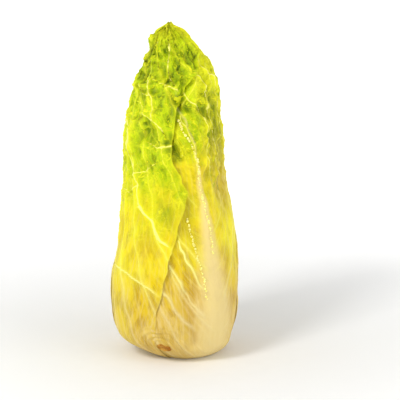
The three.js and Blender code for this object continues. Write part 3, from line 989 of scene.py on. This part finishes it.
def build_floor():
    around = 96
    profile = [(0.0, 0.0), (1.2, 0.0), (2.4, 0.0), (3.0, 0.08), (3.5, 0.35), (3.9, 0.85), (4.1, 1.6)]
    points = [(0, 0, 0)]
    for r, z in profile[1:]:
        turns = np.linspace(0, 2 * math.pi, around, endpoint=False)
        points += [(r * math.cos(a), r * math.sin(a), z) for a in turns]
    faces = [(0, 1 + j, 1 + (j + 1) % around) for j in range(around)]
    for i in range(len(profile) - 2):
        for j in range(around):
            k = (j + 1) % around
            low, high = 1 + i * around, 1 + (i + 1) * around
            faces.append((low + j, high + j, high + k, low + k))
    mesh = bpy.data.meshes.new("floor")
    mesh.from_pydata(points, [], faces)
    mesh.polygons.foreach_set("use_smooth", np.ones(len(mesh.polygons), bool))
    floor = bpy.data.objects.new("floor", mesh)
    bpy.context.scene.collection.objects.link(floor)
    mesh.materials.append(stage_material())


def aimed(name, data, spot, target):
    item = bpy.data.objects.new(name, data)
    bpy.context.scene.collection.objects.link(item)
    item.location = spot
    direction = np.array(target) - np.array(spot)
    item.rotation_euler = look_along(direction)
    return item


def look_along(direction):
    """Euler angles that point an object's -Z along a direction with its X level."""
    x, y, z = direction
    return (math.atan2(math.hypot(x, y), -z), 0.0, math.atan2(y, x) - math.pi / 2)


def soft_light(name, spot, target, size, power):
    data = bpy.data.lights.new(name, "AREA")
    data.shape, data.size, data.energy = "SQUARE", size, power
    aimed(name, data, spot, target)


def build_stage():
    settings = bpy.context.scene.chicory_stage
    scene = bpy.context.scene
    build_floor()
    target = (0.0155, 0.0, 0.149)
    tilt, far = settings.elevation, settings.distance
    data = bpy.data.cameras.new("camera")
    data.lens, data.sensor_width = settings.lens, 36.0
    spot = (target[0], -far * math.cos(tilt), target[2] + far * math.sin(tilt))
    scene.camera = aimed("camera", data, spot, target)
    soft_light("key_light", (-0.9, -1.1, 1.3), (0, 0, 0.15), 0.45, settings.key_power)
    soft_light("fill_light", (1.3, -0.9, 0.7), (0, 0, 0.15), 1.2, settings.fill_power)
    world = bpy.data.worlds.new("studio")
    world.use_nodes = True
    background = world.node_tree.nodes["Background"]
    background.inputs["Color"].default_value = (1, 1, 1, 1)
    background.inputs["Strength"].default_value = settings.sky_strength
    scene.world = world
    scene.view_settings.view_transform = "Standard"


# ---------------------------------------------------------------- add-on parts
class ChicoryLeafSizes(bpy.types.PropertyGroup):
    """Sizes of the relief on the leaves"""

    net_size: bpy.props.FloatProperty(
        name="Net Size",
        description="Width of the net between veins, in mm along the leaf",
        default=9.0,
        min=2.0,
    )
    net_depth: bpy.props.FloatProperty(
        name="Net Depth",
        description="Depth of the tissue between veins",
        default=0.0018,
        unit="LENGTH",
    )
    wrinkle_size: bpy.props.FloatProperty(
        name="Wrinkle Size",
        description="Width of the wrinkles, in mm along the leaf",
        default=16.0,
        min=2.0,
    )
    wrinkle_depth: bpy.props.FloatProperty(
        name="Wrinkle Depth",
        description="Depth of the wrinkles",
        default=0.0018,
        unit="LENGTH",
    )


class ChicoryStageSettings(bpy.types.PropertyGroup):
    """Camera and lights of the stage"""

    lens: bpy.props.FloatProperty(name="Lens", description="Focal length in mm", default=200.0)
    distance: bpy.props.FloatProperty(
        name="Distance",
        description="From the camera to the middle of the view",
        default=2.122,
        unit="LENGTH",
    )
    elevation: bpy.props.FloatProperty(
        name="Elevation",
        description="Height of the camera above level",
        default=math.radians(14),
        subtype="ANGLE",
    )
    key_power: bpy.props.FloatProperty(
        name="Key Light",
        description="Power of the light at the front left",
        default=14.0,
        unit="POWER",
    )
    fill_power: bpy.props.FloatProperty(
        name="Fill Light",
        description="Power of the light at the right",
        default=6.0,
        unit="POWER",
    )
    sky_strength: bpy.props.FloatProperty(
        name="Sky",
        description="Strength of the white surroundings",
        default=0.48,
    )


class CHICORY_OT_torn_wrapper_leaf(bpy.types.Operator):
    """Build the large leaf with the torn edge"""

    bl_idname = "chicory.torn_wrapper_leaf"
    bl_label = "Torn Wrapper Leaf"

    def execute(self, context):
        build_leaf("torn_wrapper_leaf", 150, 280, ragged=1.0)
        return {"FINISHED"}


class CHICORY_OT_broad_rib_wrapper_leaf(bpy.types.Operator):
    """Build the leaf with the broad pale rib"""

    bl_idname = "chicory.broad_rib_wrapper_leaf"
    bl_label = "Broad Rib Wrapper Leaf"

    def execute(self, context):
        build_leaf("broad_rib_wrapper_leaf", 160, 280, ragged=0.7)
        return {"FINISHED"}


class CHICORY_OT_rib_blisters(bpy.types.Operator):
    """Set the blisters along the ribs of the broad-ribbed leaf"""

    bl_idname = "chicory.rib_blisters"
    bl_label = "Rib Blisters"

    def execute(self, context):
        build_rib_blisters()
        return {"FINISHED"}


class CHICORY_OT_leaf_scar(bpy.types.Operator):
    """Build the dried scar low at the front"""

    bl_idname = "chicory.leaf_scar"
    bl_label = "Leaf Scar"

    def execute(self, context):
        build_leaf_scar()
        return {"FINISHED"}


class CHICORY_OT_other_wrapper_leaves(bpy.types.Operator):
    """Build the two short outer leaves and the one at the back"""

    bl_idname = "chicory.other_wrapper_leaves"
    bl_label = "Short and Back Wrapper Leaves"

    def execute(self, context):
        build_leaf("short_wrapper_leaf_left", 90, 110, ragged=0.7, curl=-0.2, settle=0.85)
        build_leaf("short_wrapper_leaf_right", 96, 130, ragged=0.7, curl=-0.1, settle=0.85)
        build_leaf("back_wrapper_leaf", 130, 260, ragged=0.7)
        return {"FINISHED"}


class CHICORY_OT_head_leaves(bpy.types.Operator):
    """Build the leaves under the wrappers"""

    bl_idname = "chicory.head_leaves"
    bl_label = "Head Leaves"

    def execute(self, context):
        for number in range(1, MIDDLE_COUNT + 1):
            build_leaf(f"head_leaf_{number:02d}", 64, 130, ragged=0.6)
        return {"FINISHED"}


class CHICORY_OT_heart_leaves(bpy.types.Operator):
    """Build the folded leaves of the heart"""

    bl_idname = "chicory.heart_leaves"
    bl_label = "Heart Leaves"

    def execute(self, context):
        for number in range(1, HEART_COUNT + 1):
            build_leaf(f"heart_leaf_{number:02d}", 24, 56, curl=0.0)
        return {"FINISHED"}


class CHICORY_OT_stem(bpy.types.Operator):
    """Build the stem with its cut face"""

    bl_idname = "chicory.stem"
    bl_label = "Stem"

    def execute(self, context):
        build_stem()
        return {"FINISHED"}


class CHICORY_OT_stage(bpy.types.Operator):
    """Build the floor, the lights and the camera"""

    bl_idname = "chicory.stage"
    bl_label = "Stage"

    def execute(self, context):
        build_stage()
        return {"FINISHED"}


OPERATORS = (
    CHICORY_OT_torn_wrapper_leaf,
    CHICORY_OT_broad_rib_wrapper_leaf,
    CHICORY_OT_rib_blisters,
    CHICORY_OT_leaf_scar,
    CHICORY_OT_other_wrapper_leaves,
    CHICORY_OT_head_leaves,
    CHICORY_OT_heart_leaves,
    CHICORY_OT_stem,
    CHICORY_OT_stage,
)


class CHICORY_PT_panel(bpy.types.Panel):
    """Sizes of the head and the operators that build it"""

    bl_idname = "CHICORY_PT_panel"
    bl_label = "Chicory"
    bl_space_type = "VIEW_3D"
    bl_region_type = "UI"
    bl_category = "Chicory"

    def draw(self, context):
        for group in (context.scene.chicory_leaves, context.scene.chicory_stage):
            box = self.layout.box()
            for name in group.__annotations__:
                box.prop(group, name)
        for operator in OPERATORS:
            self.layout.operator(operator.bl_idname)


CLASSES = (ChicoryLeafSizes, ChicoryStageSettings, *OPERATORS, CHICORY_PT_panel)


def register():
    for cls in CLASSES:
        bpy.utils.register_class(cls)
    bpy.types.Scene.chicory_leaves = bpy.props.PointerProperty(type=ChicoryLeafSizes)
    bpy.types.Scene.chicory_stage = bpy.props.PointerProperty(type=ChicoryStageSettings)


def unregister():
    del bpy.types.Scene.chicory_stage
    del bpy.types.Scene.chicory_leaves
    for cls in reversed(CLASSES):
        bpy.utils.unregister_class(cls)


def main():
    register()
    for operator in OPERATORS:
        group, name = operator.bl_idname.split(".")
        getattr(getattr(bpy.ops, group), name)()


if __name__ == "__main__":
    main()
